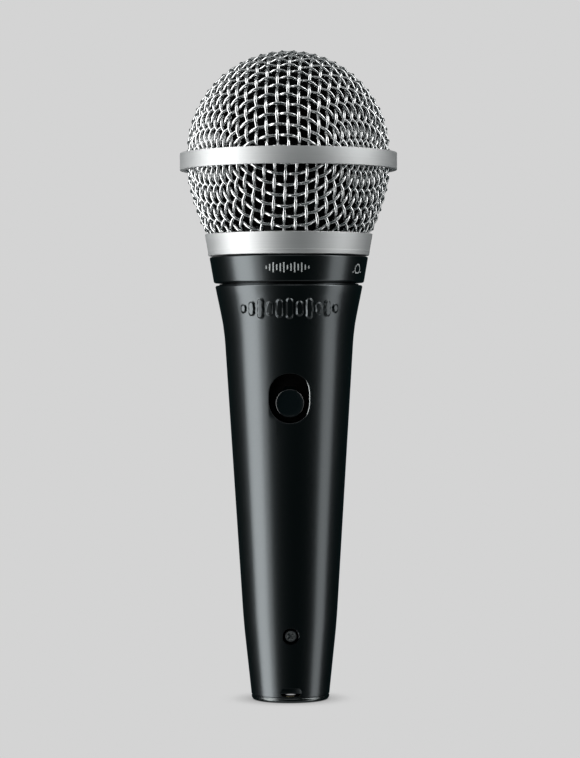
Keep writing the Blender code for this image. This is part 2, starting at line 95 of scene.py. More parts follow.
# Woven screens. Each net's front is turned about Z and its pole leans, in degrees towards +X, and
# its first crossing lies at an angle from the front towards the pole.
WIRE = 0.80 * MM
RISE_DOWN, RISE_ACROSS = 0.45 * MM, 0.30 * MM  # how far each family of wires bends in and out
FLATNESS = 0.10  # of each wire where it lies over the other
PITCH_ACROSS, PITCH_DOWN = 2.62 * MM, 2.68 * MM
NET_REACH = 17  # crossings on each side of the first one
DOME_TURN, DOME_LEAN, DOME_START = -6.4, -2.5, 87.24
BASKET_TURN, BASKET_LEAN, BASKET_START = -1.94, -2.36, 88.2
FOAM_GAP, FOAM_WALL = 1.95, 2.0  # from the screens' outside to the foam, and the foam's thickness

# ------------------------------------------------------------------ camera


def linked(name, data):
    """A new object of some data, in the scene."""
    thing = bpy.data.objects.new(name, data)
    bpy.context.scene.collection.objects.link(thing)
    return thing


def make_camera():
    """A long lens in front of the microphone, a little above its middle and nearly level."""
    camera = bpy.data.cameras.new("camera")
    camera.lens = 126.6
    camera.sensor_width = 36.0
    thing = linked("camera", camera)
    around, tilt, roll = (math.radians(angle) for angle in (-0.5, 89.28, -0.222))
    place = Matrix.Translation((0.18 * MM, -664 * MM, 88.0 * MM))
    thing.matrix_world = (Matrix.Rotation(around, 4, "Z") @ place
                          @ Matrix.Rotation(tilt, 4, "X") @ Matrix.Rotation(roll, 4, "Z"))
    bpy.context.scene.camera = thing


# ------------------------------------------------------------------ materials

GRAIN_SPAN = (0.3, 0.7)  # the part of a texture's range that a material's grain uses


def new_material(name, colour, roughness, metallic=0.0, coat=0.0, sheen=0.0):
    material = bpy.data.materials.new(name)
    material.use_nodes = True
    shader = material.node_tree.nodes["Principled BSDF"]
    shader.inputs["Base Color"].default_value = (*colour, 1.0)
    shader.inputs["Roughness"].default_value = roughness
    shader.inputs["Metallic"].default_value = metallic
    shader.inputs["Coat Weight"].default_value = coat
    shader.inputs["Coat Roughness"].default_value = 0.18
    shader.inputs["Sheen Weight"].default_value = sheen
    return material, shader


def texture_of(tree, stretch, kind, detail):
    """A noise or Voronoi texture in the object's own axes; stretch is its features' size in
    millimetres along each axis."""
    place = tree.nodes.new("ShaderNodeTexCoord")
    mapping = tree.nodes.new("ShaderNodeMapping")
    mapping.inputs["Scale"].default_value = [1.0 / (s * MM) for s in stretch]
    tree.links.new(place.outputs["Object"], mapping.inputs["Vector"])
    texture = tree.nodes.new(kind)
    texture.inputs["Scale"].default_value = 1.0
    if kind == "ShaderNodeTexNoise":
        texture.inputs["Detail"].default_value = detail
    tree.links.new(mapping.outputs["Vector"], texture.inputs["Vector"])
    return texture


def vary(tree, source, socket, low, high):
    """Maps a texture's value onto a number input."""
    span = tree.nodes.new("ShaderNodeMapRange")
    span.inputs["From Min"].default_value, span.inputs["From Max"].default_value = GRAIN_SPAN
    span.inputs["To Min"].default_value = low
    span.inputs["To Max"].default_value = high
    tree.links.new(source, span.inputs["Value"])
    tree.links.new(span.outputs["Result"], socket)


def tint(tree, source, socket, first, second):
    """Maps a texture's value onto a colour input."""
    ramp = tree.nodes.new("ShaderNodeValToRGB")
    for end, place, colour in zip(ramp.color_ramp.elements, GRAIN_SPAN, (first, second)):
        end.position = place
        end.color = (*colour, 1.0)
    tree.links.new(source, ramp.inputs["Fac"])
    tree.links.new(ramp.outputs["Color"], socket)


def bump(tree, source, shader, height):
    """Raises the surface by a texture's value, up to a height in millimetres."""
    node = tree.nodes.new("ShaderNodeBump")
    node.inputs["Distance"].default_value = height * MM
    tree.links.new(source, node.inputs["Height"])
    tree.links.new(node.outputs["Normal"], shader.inputs["Normal"])


def shaded(name, first, second, rough, metallic=0.0, grain=(0.5, 0.5, 0.5), height=0.01,
           coat=0.0, sheen=0.0, kind="ShaderNodeTexNoise", detail=3.0, gloss=0.5):
    """A material whose colour, roughness and relief all follow one grain."""
    middle = [(a + b) / 2 for a, b in zip(first, second)]
    material, shader = new_material(name, middle, sum(rough) / 2, metallic, coat, sheen)
    shader.inputs["Specular IOR Level"].default_value = gloss
    tree = material.node_tree
    texture = texture_of(tree, grain, kind, detail)
    source = texture.outputs["Fac" if kind == "ShaderNodeTexNoise" else "Distance"]
    tint(tree, source, shader.inputs["Base Color"], first, second)
    vary(tree, source, shader.inputs["Roughness"], *rough)
    bump(tree, source, shader, height)
    return material


def make_materials():
    """Each material's two colours, range of roughness, metal share, grain size and relief."""
    return {
        "paint": shaded("handle_paint", (0.076, 0.084, 0.087), (0.084, 0.092, 0.096), (0.28, 0.30),
                        1.0, (0.22, 0.22, 0.22), 0.0007, coat=0.25),
        "band": shaded("band_paint", (0.074, 0.082, 0.085), (0.079, 0.087, 0.090), (0.275, 0.285),
                       1.0, (0.3, 0.3, 0.3), 0.0003, coat=0.25),
        # The neck's thread paint, darker than the handle's paint, as painted shade of the groove
        # between the band and the handle.
        "thread": shaded("groove_shade_thread_paint", (0.022, 0.024, 0.025), (0.034, 0.036, 0.037), (0.36, 0.46),
                         1.0, (0.3, 0.3, 0.3), 0.002),
        "turned": shaded("turned_silver", (0.66, 0.67, 0.67), (0.71, 0.72, 0.72), (0.57, 0.63),
                         1.0, (14.0, 14.0, 0.16), 0.0015, detail=4.0),
        "wire": shaded("plated_wire", (0.79, 0.80, 0.80), (0.88, 0.89, 0.89), (0.23, 0.30),
                       1.0, (0.6, 0.6, 0.6), 0.0004),
        # Black foam, with its colour taken far darker still as painted shade inside the grille
        # behind the wires.
        "foam": shaded("shade_darkened_foam", (0.0008, 0.0008, 0.0009), (0.004, 0.004, 0.004), (0.92, 1.0),
                       0.0, (0.45, 0.45, 0.45), 0.25, kind="ShaderNodeTexVoronoi", gloss=0.1),
        "plastic": shaded("moulded_plastic", (0.008, 0.009, 0.009), (0.014, 0.015, 0.016),
                          (0.42, 0.55), 0.0, (0.12, 0.12, 0.12), 0.004),
        "knob": shaded("knob_plastic", (0.003, 0.005, 0.006), (0.005, 0.007, 0.008),
                       (0.13, 0.18), 0.0, (0.15, 0.15, 0.15), 0.0008, gloss=1.0),
        # The switch plate's plastic: far darker and duller than the other black plastic, as painted
        # shade of the deep button recess.
        "recess": shaded("shade_darkened_plastic", (0.0008, 0.0008, 0.0008), (0.0018, 0.0018, 0.0018),
                         (0.80, 0.95), 0.0, (0.12, 0.12, 0.12), 0.004, gloss=0.08),
        "rim": shaded("worn_rim", (0.055, 0.062, 0.062), (0.18, 0.19, 0.19), (0.20, 0.28),
                      1.0, (0.9, 0.9, 0.10), 0.002),
        "edge": shaded("rubbed_edge", (0.19, 0.20, 0.20), (0.25, 0.26, 0.26), (0.24, 0.30),
                       1.0, (0.5, 0.5, 0.5), 0.001),
        "zinc": shaded("zinc_screw", (0.30, 0.31, 0.31), (0.44, 0.45, 0.45), (0.46, 0.58),
                       1.0, (0.25, 0.25, 0.25), 0.004),
        "rubber": shaded("elastomer", (0.010, 0.010, 0.010), (0.022, 0.022, 0.022), (0.65, 0.85),
                         0.0, (0.3, 0.3, 0.3), 0.01),
        "steel": shaded("plain_steel", (0.46, 0.46, 0.47), (0.60, 0.60, 0.60), (0.28, 0.42),
                        1.0, (0.25, 0.25, 0.25), 0.003),
        "magnet": shaded("nickel_plate", (0.55, 0.54, 0.50), (0.66, 0.65, 0.61), (0.12, 0.22),
                         1.0, (0.8, 0.8, 0.8), 0.001),
        "copper": shaded("coil_winding", (0.42, 0.13, 0.05), (0.80, 0.36, 0.20), (0.25, 0.40),
                         1.0, (9.0, 9.0, 0.10), 0.02),
        "film": shaded("polymer_film", (0.62, 0.58, 0.40), (0.74, 0.71, 0.55), (0.10, 0.22),
                       0.0, (0.9, 0.9, 0.9), 0.004),
        "felt": shaded("damping_cloth", (0.02, 0.02, 0.022), (0.06, 0.06, 0.065), (0.85, 1.0),
                       0.0, (0.18, 0.18, 0.5), 0.05, sheen=0.4),
        "board": shaded("circuit_board", (0.012, 0.10, 0.045), (0.022, 0.16, 0.075), (0.30, 0.45),
                        0.0, (1.2, 1.2, 1.2), 0.006),
        "contact": shaded("plated_contact", (0.74, 0.60, 0.30), (0.86, 0.73, 0.44), (0.16, 0.28),
                          1.0, (0.4, 0.4, 0.4), 0.001),
        "red": shaded("red_insulation", (0.36, 0.012, 0.012), (0.50, 0.03, 0.025), (0.35, 0.5),
                      0.0, (0.5, 0.5, 0.5), 0.01),
        "green": shaded("green_insulation", (0.010, 0.17, 0.04), (0.02, 0.25, 0.07), (0.35, 0.5),
                        0.0, (0.5, 0.5, 0.5), 0.01),
        "yellow": shaded("yellow_insulation", (0.52, 0.38, 0.02), (0.66, 0.50, 0.04), (0.35, 0.5),
                         0.0, (0.5, 0.5, 0.5), 0.01),
        "black": shaded("black_insulation", (0.012, 0.012, 0.012), (0.026, 0.026, 0.026),
                        (0.35, 0.5), 0.0, (0.5, 0.5, 0.5), 0.01),
        "ink": shaded("printed_ink", (0.52, 0.55, 0.55), (0.66, 0.69, 0.69), (0.5, 0.65), 0.0,
                      (0.1, 0.1, 0.1), 0.002),
    }


# The CAD nodes that stay, by their material.
CAD_FINISH = {
    "plastic": ("mount_ring", "cartridge_housing", "front_cap", "rear_cup", "diaphragm_seat",
                "switch_slider"),
    # The switch plate takes the darkened plastic, which paints the shade of its recess.
    "recess": ("switch_plate",),
    "felt": ("front_cloth",),
    "steel": ("yoke_cup", "pole_plate", "switch_case", "switch_screw_lower",
              "switch_screw_upper"),
    "magnet": ("magnet",),
    "copper": ("voice_coil",),
    "film": ("diaphragm",),
    "board": ("terminal_board", "switch_board"),
    "contact": ("terminal_lug_left", "terminal_lug_right", "ground_spring"),
    "red": ("lead_pin_2",),
    "yellow": ("lead_pin_3",),
    "black": ("lead_pin_1",),
}


# ------------------------------------------------------------------ meshes


def make_piece(name, points, faces, material, body, slot=None, replaces=(), sharp=40.0,
               place=None):
    """An object of points in millimetres and faces, which rides on a body of the frame."""
    mesh = bpy.data.meshes.new(name)
    mesh.from_pydata([(x * MM, y * MM, z * MM) for x, y, z in points], [], faces)
    if place is not None:
        mesh.transform(place)
    bm = bmesh.new()
    bm.from_mesh(mesh)
    bmesh.ops.recalc_face_normals(bm, faces=bm.faces)
    bm.to_mesh(mesh)
    bm.free()
    mesh.shade_smooth()
    mesh.set_sharp_from_angle(angle=math.radians(sharp))
    mesh.materials.append(material)
    thing = linked(name, mesh)
    if body:
        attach(thing, body)
    if replaces:
        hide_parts(*replaces)
    return thing


def rounded(outline, radius, steps=4, least=12.0):
    """A closed outline with each corner sharper than least degrees turned into a small curve."""
    made = []
    count = len(outline)
    for k in range(count):
        before, here, after = (np.array(outline[(k + s) % count], float) for s in (-1, 0, 1))
        to_before, to_after = before - here, after - here
        a, b = np.linalg.norm(to_before), np.linalg.norm(to_after)
        turn = math.degrees(math.acos(np.clip(-(to_before @ to_after) / (a * b), -1, 1)))
        if turn < least or here[0] < 1e-6:
            made.append(tuple(here))
            continue
        reach = min(radius, 0.45 * a, 0.45 * b)
        first, last = here + to_before / a * reach, here + to_after / b * reach
        for i in range(steps + 1):
            t = i / steps
            made.append(tuple((1 - t) ** 2 * first + 2 * t * (1 - t) * here + t * t * last))
    return made


def even_angles(count):
    """Angles in degrees that share out a full turn."""
    return [360.0 * k / count for k in range(count)]


def swept(outline, angles, relief=None):
    """Points and faces of a closed outline of (radius, height) turned about Z.

    Angles are in degrees from -Y towards +X. relief(radius, height, angle) gives a new radius."""
    points, faces, rows = [], [], []
    for radius, height in outline:
        if radius < 1e-6:
            rows.append([len(points)] * len(angles))
            points.append((0.0, 0.0, height))
            continue
        row = []
        for angle in angles:
            r = relief(radius, height, angle) if relief else radius
            row.append(len(points))
            turn = math.radians(angle)
            points.append((r * math.sin(turn), -r * math.cos(turn), height))
        rows.append(row)
    count = len(angles)
    for low, high in zip(rows, rows[1:] + rows[:1]):
        if low[0] == low[1] and high[0] == high[1]:
            continue
        for k in range(count):
            n = (k + 1) % count
            corners = [low[k], low[n], high[n], high[k]]
            faces.append(list(dict.fromkeys(corners)))
    return points, faces


def lathe(name, outline, material, body, count, relief=None, **rest):
    """A turned piece with a number of sides; what is left over goes to make_piece."""
    points, faces = swept(outline, even_angles(count), relief)
    return make_piece(name, points, faces, material, body, **rest)


def arc(centre, radius, start, end, steps):
    """Points along an arc between two angles in degrees."""
    turns = [math.radians(start + (end - start) * i / steps) for i in range(steps + 1)]
    return [(centre[0] + radius * math.cos(a), centre[1] + radius * math.sin(a)) for a in turns]


def profile_radius(outline, height):
    """The radius of an outline of (radius, height) points at one height."""
    return float(np.interp(height, [z for _, z in outline], [r for r, _ in outline]))


def rounded_rectangle(half_width, half_height, corner, steps=12):
    x, z = half_width - corner, half_height - corner
    corners = [((x, z), 0), ((-x, z), 90), ((-x, -z), 180), ((x, -z), 270)]
    return [p for centre, start in corners for p in arc(centre, corner, start, start + 90, steps)]


def grown(outline, amount):
    """A convex outline about the origin moved outwards by an amount."""
    count = len(outline)
    made = []
    for k in range(count):
        before, here, after = (np.array(outline[(k + s) % count], float) for s in (-1, 0, 1))
        along = after - before
        out = np.array([along[1], -along[0]])
        length = np.linalg.norm(out)
        made.append(tuple(here + out / length * amount))
    return made


def smooth_step(value, low, high):
    """0 up to low and 1 from high on, with a smooth rise between them."""
    t = min(1.0, max(0.0, (value - low) / (high - low)))
    return t * t * (3 - 2 * t)


def flared_cutter(name, outline, radius, depth, flare, place, materials, lean=0.0):
    """A cutter for a round wall: its mouth rounds over by flare where it meets the wall's surface.

    The outline lies in the XZ plane of the place, whose +Y points into the wall of that radius.
    A lean draws the hole's right side in and rounds its mouth over by more, in a crescent that is
    rubbed bare."""
    widest = max(x for x, _ in outline)
    share = [smooth_step(x / widest, 0.74, 1.0) for x, _ in outline]
    inner = [(x - lean * s, z) for (x, z), s in zip(outline, share)]
    edge = grown(inner, 1.0)
    over = [flare + 1.35 * lean * s for s in share]

    def ring(turn, lift=0.0):
        """The mouth's round at a turn from the wall's surface, 0, to the hole's side, 90."""
        out, sink = 1 - math.sin(math.radians(turn)), 1 - math.cos(math.radians(turn))
        made = []
        for (x, z), (edge_x, edge_z), reach in zip(inner, edge, over):
            x += (edge_x - x) * reach * out
            z += (edge_z - z) * reach * out
            made.append((x, radius - math.sqrt(radius ** 2 - x ** 2) + reach * sink - lift, z))
        return made
    rings = [ring(0, lift=3.0), *(ring(turn) for turn in range(0, 91, 15))]
    rings.append([(x, depth, z) for x, z in inner])
    count = len(outline)
    points = [p for row in rings for p in row]
    faces = [[a * count + k, a * count + (k + 1) % count, (a + 1) * count + (k + 1) % count,
              (a + 1) * count + k] for a in range(len(rings) - 1) for k in range(count)]
    faces.append(list(range(count))[::-1])
    faces.append([(len(rings) - 1) * count + k for k in range(count)])
    cutter = make_piece(name, points, faces, materials["paint"], None, place=place)
    cutter.data.materials.append(materials["rim"])
    cutter.data.materials.append(materials["edge"])
    for face in cutter.data.polygons:
        row, k = divmod(face.index, count)
        if lean and 1 <= row < len(rings) - 2 and share[k] > 0.1:
            face.material_index = 2
    return cutter


def cut_away(thing, cutters):
    """Cuts each cutter from a piece, and leaves plain mesh behind."""
    for cutter in cutters:
        modifier = thing.modifiers.new("cut", "BOOLEAN")
        modifier.object = cutter
        modifier.operation = "DIFFERENCE"
        modifier.solver = "EXACT"
    graph = bpy.context.evaluated_depsgraph_get()
    mesh = bpy.data.meshes.new_from_object(thing.evaluated_get(graph))
    thing.modifiers.clear()
    thing.data = mesh
    mesh.shade_smooth()
    mesh.set_sharp_from_angle(angle=math.radians(32))
    for cutter in cutters:
        bpy.data.objects.remove(cutter)


# ------------------------------------------------------------------ woven screens


def turned_half(direction, across):
    """A direction turned half a turn about another one."""
    return 2.0 * (across @ direction) * across - direction


def fishnet(front, pole, start, radius):
    """The crossings of a woven cloth formed over a ball, as directions from its centre.

    Two wires run as great circles through a first crossing. Every cell keeps its four sides'
    lengths, so the cells shear to diamonds between the two wires, as in a pressed screen.
    start is the first crossing's angle in degrees from the front towards the pole."""
    side = np.cross(front, pole)
    start = math.radians(start)
    step_across, step_down = PITCH_ACROSS / radius, PITCH_DOWN / radius

    def on_circle(angle):
        return math.cos(angle) * front + math.sin(angle) * pole
    origin = on_circle(start)
    net = {(0, 0): origin}
    for k in range(1, NET_REACH + 1):
        for sign in (-1, 1):
            net[0, sign * k] = on_circle(start - sign * k * step_down)
            turn = sign * k * step_across
            net[sign * k, 0] = math.cos(turn) * origin + math.sin(turn) * side
    reach = range(1, NET_REACH + 1)
    for i, j, a, b in itertools.product(reach, reach, (-1, 1), (-1, 1)):
        one, two = net.get((a * i, b * (j - 1))), net.get((a * (i - 1), b * j))
        back = net.get((a * (i - 1), b * (j - 1)))
        if one is None or two is None or back is None:
            continue
        middle = one + two
        size = np.linalg.norm(middle)
        folded = np.linalg.norm(one - two) < 0.3 * step_across
        if not folded and size >= 0.5:
            net[a * i, b * j] = turned_half(back, middle / size)
    return net


def wire_runs(net):
    """Each wire of a net as its family, its own number, its first crossing's number and its
    directions, crossing by crossing. Family 0 runs down from the first crossing, 1 across."""
    reach = range(-NET_REACH, NET_REACH + 1)
    for family in (0, 1):
        for own in reach:
            run, first = [], None
            for other in reach:
                point = net.get((own, other) if family == 0 else (other, own))
                if point is None:
                    if run and other > 0:
                        break
                    run, first = [], None
                    continue
                if first is None:
                    first = other
                run.append(point)
            if len(run) > 2:
                yield family, own, first, np.array(run)


def finer(run, per_cell):
    """A run of crossings with points between them along a Catmull-Rom curve."""
    ends = np.vstack([2 * run[0] - run[1], run, 2 * run[-1] - run[-2]])
    steps = np.arange(per_cell) / per_cell
    made, numbers = [], []
    for k in range(len(run) - 1):
        a, b, c, d = ends[k:k + 4]
        for t in steps:
            made.append(0.5 * (2 * b + (c - a) * t + (2 * a - 5 * b + 4 * c - d) * t ** 2
                               + (3 * b - a - 3 * c + d) * t ** 3))
            numbers.append(k + t)
    made.append(run[-1])
    numbers.append(len(run) - 1)
    made = np.array(made)
    return made / np.linalg.norm(made, axis=1)[:, None], np.array(numbers)


def tube(points, normals, radius, sides, start):
    """Points and faces of a capped round tube; normals keep its facets from twisting."""
    along = np.gradient(points, axis=0)
    along /= np.linalg.norm(along, axis=1)[:, None]
    side = np.cross(along, normals)
    side /= np.linalg.norm(side, axis=1)[:, None]
    up = np.cross(side, along)
    turns = 2 * np.pi * (np.arange(sides) + 0.5) / sides
    rings = (points[:, None, :] + radius * (np.cos(turns)[None, :, None] * side[:, None, :]
                                            + np.sin(turns)[None, :, None] * up[:, None, :]))
    count = len(points)
    faces = []
    for k in range(count - 1):
        low, high = start + k * sides, start + (k + 1) * sides
        for s in range(sides):
            n = (s + 1) % sides
            faces.append((low + s, low + n, high + n, high + s))
    faces.append(tuple(start + s for s in range(sides))[::-1])
    faces.append(tuple(start + (count - 1) * sides + s for s in range(sides)))
    return rings.reshape(-1, 3), faces


def weave(name, net, surface, keep, material, replaced):
    """Wires over and under each other along a net.

    surface(directions) gives points and normals of the cloth's middle, and keep tells which
    directions lie on the finished screen."""
    points, faces, count = [], [], 0
    for family, own, first, run in wire_runs(net):
        fine, numbers = finer(run, 6)
        spots = np.where(keep(fine))[0]
        for part in np.split(spots, np.where(np.diff(spots) > 1)[0] + 1):
            if len(part) < 4:
                continue
            base, normal = surface(fine[part])
            sign = (-1.0 if family == 0 else 1.0) * (1.0 if own % 2 == 0 else -1.0)
            turn = np.pi * (numbers[part] + first)
            rise = RISE_DOWN if family == 0 else RISE_ACROSS
            lift = sign * rise * (np.cos(turn) - FLATNESS * np.cos(3 * turn)) / (1 - FLATNESS)
            path = base + normal * lift[:, None]
            some, more = tube(path, normal, WIRE / 2, 8, count)
            points.append(some)
            faces.extend(more)
            count += len(some)
    make_piece(name, np.vstack(points) / MM, faces, material, "grille", "screen_wire",
               (replaced,), sharp=60)


def net_axes(front_turn, pole_lean, upward):
    """A net's front and pole directions: the front turned about Z and the pole leaned sideways,
    both in degrees towards +X. upward is 1 for a pole at the top and -1 for one at the foot."""
    turn, lean = math.radians(front_turn), math.radians(pole_lean)
    front = np.array([math.sin(turn), -math.cos(turn), 0.0])
    pole = np.array([math.sin(lean), 0.0, upward * math.cos(lean)])
    pole -= (pole @ front) * front
    return front, pole / np.linalg.norm(pole)


def build_dome(materials):
    """The upper screen: a net over a ball, down to just inside the equator ring."""
    middle = BALL_RADIUS - WIRE / 2 - RISE_DOWN
    centre = np.array([0.0, 0.0, BALL_CENTRE])
    net = fishnet(*net_axes(DOME_TURN, DOME_LEAN, 1.0), DOME_START, middle)
    lowest = math.sin(math.radians(-3.5))

    def surface(directions):
        return centre + directions * middle, directions

    def keep(directions):
        return directions[:, 2] > lowest

    weave("dome_weave", net, surface, keep, materials["wire"], "dome_screen")


def build_basket(materials):
    """The lower screen: a net over a ball, laid from the equator down the basket's outline."""
    run = np.array(BASKET_OUTSIDE[-2::-1]) * MM  # from the equator ring's lower edge to the foot
    along = np.concatenate([[0.0], np.cumsum(np.linalg.norm(np.diff(run, axis=0), axis=1))])
    ball = 24.5 * MM
    slope = np.gradient(run, along, axis=0)
    outward = np.stack([-slope[:, 1], slope[:, 0]], axis=1)
    outward /= np.linalg.norm(outward, axis=1)[:, None]
    inset = run - outward * (WIRE / 2 + RISE_DOWN)
    net = fishnet(*net_axes(BASKET_TURN, BASKET_LEAN, -1.0), BASKET_START, ball)

    def distance(directions):
        return -np.arcsin(np.clip(directions[:, 2], -1, 1)) * ball

    def surface(directions):
        s = distance(directions)
        level = np.hypot(directions[:, 0], directions[:, 1])
        flat = directions[:, :2] / level[:, None]
        radius = np.interp(s, along, inset[:, 0])
        height = np.interp(s, along, inset[:, 1]) - np.minimum(s, 0.0)
        tilt = np.stack([np.interp(s, along, outward[:, k]) for k in (0, 1)], axis=1)
        tilt /= np.linalg.norm(tilt, axis=1)[:, None]
        points = np.column_stack([flat * radius[:, None], height])
        return points, np.column_stack([flat * tilt[:, :1], tilt[:, 1]])

    def keep(directions):
        s = distance(directions)
        return (s > -1.4 * MM) & (s < along[-1] - 0.6 * MM)

    weave("basket_weave", net, surface, keep, materials["wire"], "basket_screen")


def build_grille(materials):
    """The equator ring and the collar, with the screens and the foam between them."""
    low, high, radius = RING_LOW.z / MM, RING_HIGH.z / MM, RING_HIGH.x / MM
    bore = BALL_RADIUS / MM + 0.35
    lathe("equator_band", rounded([(bore, low), (radius, low), (radius, high), (bore, high)], 0.10),
          materials["turned"], "grille", 240, slot="satin_silver", replaces=("equator_ring",))

    foot, top = COLLAR_LOW.z / MM, COLLAR_HIGH.z / MM
    lathe("screen_collar", rounded([
        (THREAD_BORE, foot), (19.90, foot), (20.00, foot + 0.10), (20.155, foot + 1.02),
        (20.12, foot + 1.12), (20.86, top - 0.12), (20.74, top), (20.25, top),
        (20.20, foot + 2.8), (THREAD_BORE, foot + 2.8),
    ], 0.10), materials["turned"], "grille", 240, slot="satin_silver", replaces=("grille_collar",))

    build_dome(materials)
    build_basket(materials)
    build_foam(materials)


def build_foam(materials):
    """The foam lining, lumpy where it presses towards the screen."""
    inner = BALL_RADIUS / MM - FOAM_GAP
    outside = [(r - FOAM_GAP, z) for r, z in BASKET_OUTSIDE[2:-1]]
    dome = arc((0, BALL_CENTRE / MM), inner, 0, 90, 24)
    under = arc((0, BALL_CENTRE / MM), inner - FOAM_WALL, 90, 0, 16)
    inside = [(r - FOAM_WALL, z) for r, z in reversed(outside)]
    outline = [*outside, *dome[:-1], (0.0, dome[-1][1]), (0.0, under[0][1]), *under[1:], *inside]

    def lumps(radius, height, angle):
        wave = math.sin(0.21 * angle + 0.7 * height) * math.sin(0.13 * angle - 0.9 * height + 1.3)
        return radius - 0.12 * (1 + wave)
    thing = lathe("foam_lining", outline, materials["foam"], "grille", 120, lumps, slot="foam",
                  replaces=("foam_liner",))


# ------------------------------------------------------------------ handle


# The raised marks: a generic row of level bars, by their lengths.
EMBLEM_BARS = [2.0, 3.4, 4.8, 3.2, 4.4, 5.0, 3.6, 4.8, 2.8, 3.8, 2.0]
EMBLEM_HEIGHT, EMBLEM_PITCH, EMBLEM_WIDTH, EMBLEM_RISE = 97.0, 2.42, 1.60, 0.42


def emblem_relief(across, height):
    """How far the raised bars stand over the handle, across it and up it in millimetres."""
    first = -EMBLEM_PITCH * (len(EMBLEM_BARS) - 1) / 2
    nearest = round((across - first) / EMBLEM_PITCH)
    if not 0 <= nearest < len(EMBLEM_BARS):
        return 0.0
    half = EMBLEM_WIDTH / 2
    dx = abs(across - first - nearest * EMBLEM_PITCH)
    dz = max(0.0, abs(height - EMBLEM_HEIGHT) - (EMBLEM_BARS[nearest] / 2 - half))
    return EMBLEM_RISE * (1.0 - smooth_step(math.hypot(dx, dz), half - 0.28, half + 0.14))


def handle_angles():
    """Close together over the front, where the emblem and the openings are."""
    front = [0.5 * k for k in range(-96, 97)]
    rest = [48.0 + 3.0 * k for k in range(1, 88)]
    return front + rest


def handle_rows():
    """The outside's points over the rim, with more rows under the emblem and along the cones."""
    corners = {z for _, z in HANDLE_OUTSIDE[2:-1]}
    under_emblem = {93.6 + 0.16 * k for k in range(43)}
    heights = sorted(corners | under_emblem | {float(z) for z in range(4, 93, 6)})
    kept = [heights[0]]
    for height in heights[1:]:
        if height - kept[-1] > 0.05:
            kept.append(height)
    return [(profile_radius(HANDLE_OUTSIDE, z), z) for z in kept]


def soften(rows, width):
    """Rows of (radius, height) with the corners between the long cones blended over a width."""
    spread = [width * k / 4 for k in range(-4, 5)]
    made = []
    for radius, height in rows:
        if 6 < height < 99:
            near = [profile_radius(HANDLE_OUTSIDE, height + s) for s in spread]
            radius = sum(near) / len(near)
        made.append((radius, height))
    return made


def build_handle(materials):
    """The handle's shell down to its rim, with the window, the screw's hole and the latch slot."""
    rim = [(8.65, 0.0), (9.02, 0.0), (9.26, 0.08), (9.45, 0.26), (9.58, 0.48), (9.66, 0.72),
           (9.68, 0.92), (9.64, 1.04), (9.56, 1.12), (9.55, 1.28), (9.64, 1.38), (9.715, 1.46)]
    lip = [(18.26, HANDLE_TOP - 0.28), (18.18, HANDLE_TOP - 0.12), (18.02, HANDLE_TOP),
           (17.4, HANDLE_TOP), (17.3, HANDLE_TOP + 0.35), (16.3, HANDLE_TOP + 0.35)]
    inside = [(14.5, HANDLE_TOP + 0.35), (14.5, 100.6), (13.85, 100.6), (13.72, 83.6),
              (10.1, 25.4), (8.25, 22.8), (8.25, 12.0), (8.25, 0.42), (8.37, 0.14)]
    outline = rim + soften(handle_rows(), 1.6) + lip + inside

    def relief(radius, height, angle):
        turn = (angle + 180.0) % 360.0 - 180.0
        if abs(height - EMBLEM_HEIGHT) < 4 and abs(turn) < 47 and radius > 15:
            return radius + emblem_relief(math.radians(turn) * radius, height)
        return radius

    points, faces = swept(outline, handle_angles(), relief)
    shell = make_piece("handle_casting", points, faces, materials["paint"], None)
    shell.data.materials.append(materials["rim"])
    shell.data.materials.append(materials["edge"])
    for face in shell.data.polygons:
        face.material_index = int(0.5 * MM < face.center.z < 1.1 * MM)
    cut_away(shell, handle_cutters(materials))
    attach(shell, "handle")
    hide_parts("handle_shell")


def handle_cutters(materials):
    """What is cut from the handle: the button's window, the screw's hole and the latch slot."""
    screw_radius = profile_radius(HANDLE_OUTSIDE, SCREW_HEIGHT)
    latch_radius = profile_radius(HANDLE_OUTSIDE, LATCH_HEIGHT)
    return [
        flared_cutter("window", rounded_rectangle(*WINDOW), BUTTON_SURFACE, 5.0, 0.13,
                      BUTTON_FRAME, materials, lean=0.55),
        flared_cutter("hole", arc((0, 0), 2.05, 0, 352.5, 47), screw_radius, 5.0, 0.12,
                      Matrix.Translation((0, -screw_radius * MM, SCREW_HEIGHT * MM)), materials),
        flared_cutter("latch", rounded_rectangle(2.5, 1.0, 0.7, 6), latch_radius, 4.0, 0.10,
                      Matrix.Translation((0, -latch_radius * MM, LATCH_HEIGHT * MM)), materials),
    ]


def build_neck(materials):
    """The neck over the handle's shoulder, with the thread that the collar turns on."""
    foot, bore = HANDLE_TOP + 0.4, 14.5

    def thread(radius, height, angle):
        if radius > 16 and foot + 0.6 < height < NECK_TOP - 0.3:
            turn = (height / THREAD_PITCH - angle / 360.0) % 1.0
            return NECK_RADIUS - 0.25 + 0.5 * min(1.0, 2.6 * min(turn, 1.0 - turn))
        return radius
    outline = [(NECK_RADIUS - 0.2, foot + 0.12 * k) for k in range(87)]
    outline += [(16.25, NECK_TOP - 0.2), (16.05, NECK_TOP), (bore + 0.15, NECK_TOP),
                (bore, NECK_TOP - 0.15), (bore, foot)]
    # Its thread paint is darkened, as painted shade of the groove under the band.
    lathe("handle_neck", outline, materials["thread"], "handle", 96, thread, slot="black_paint")


# The band's cone between its two edges, as (radius, height).
BAND_CONE = [(18.69, BAND_LOW.z / MM + 0.25), (19.71, BAND_HIGH.z / MM - 0.25)]


def build_band(materials):
    low, high = BAND_LOW.z / MM, BAND_HIGH.z / MM
    outline = [(THREAD_BORE, low), (18.45, low), *BAND_CONE, (19.45, high), (THREAD_BORE, high)]
    lathe("model_band", rounded(outline, 0.16), materials["band"], "band", 240,
          slot="black_paint", replaces=("name_band",))


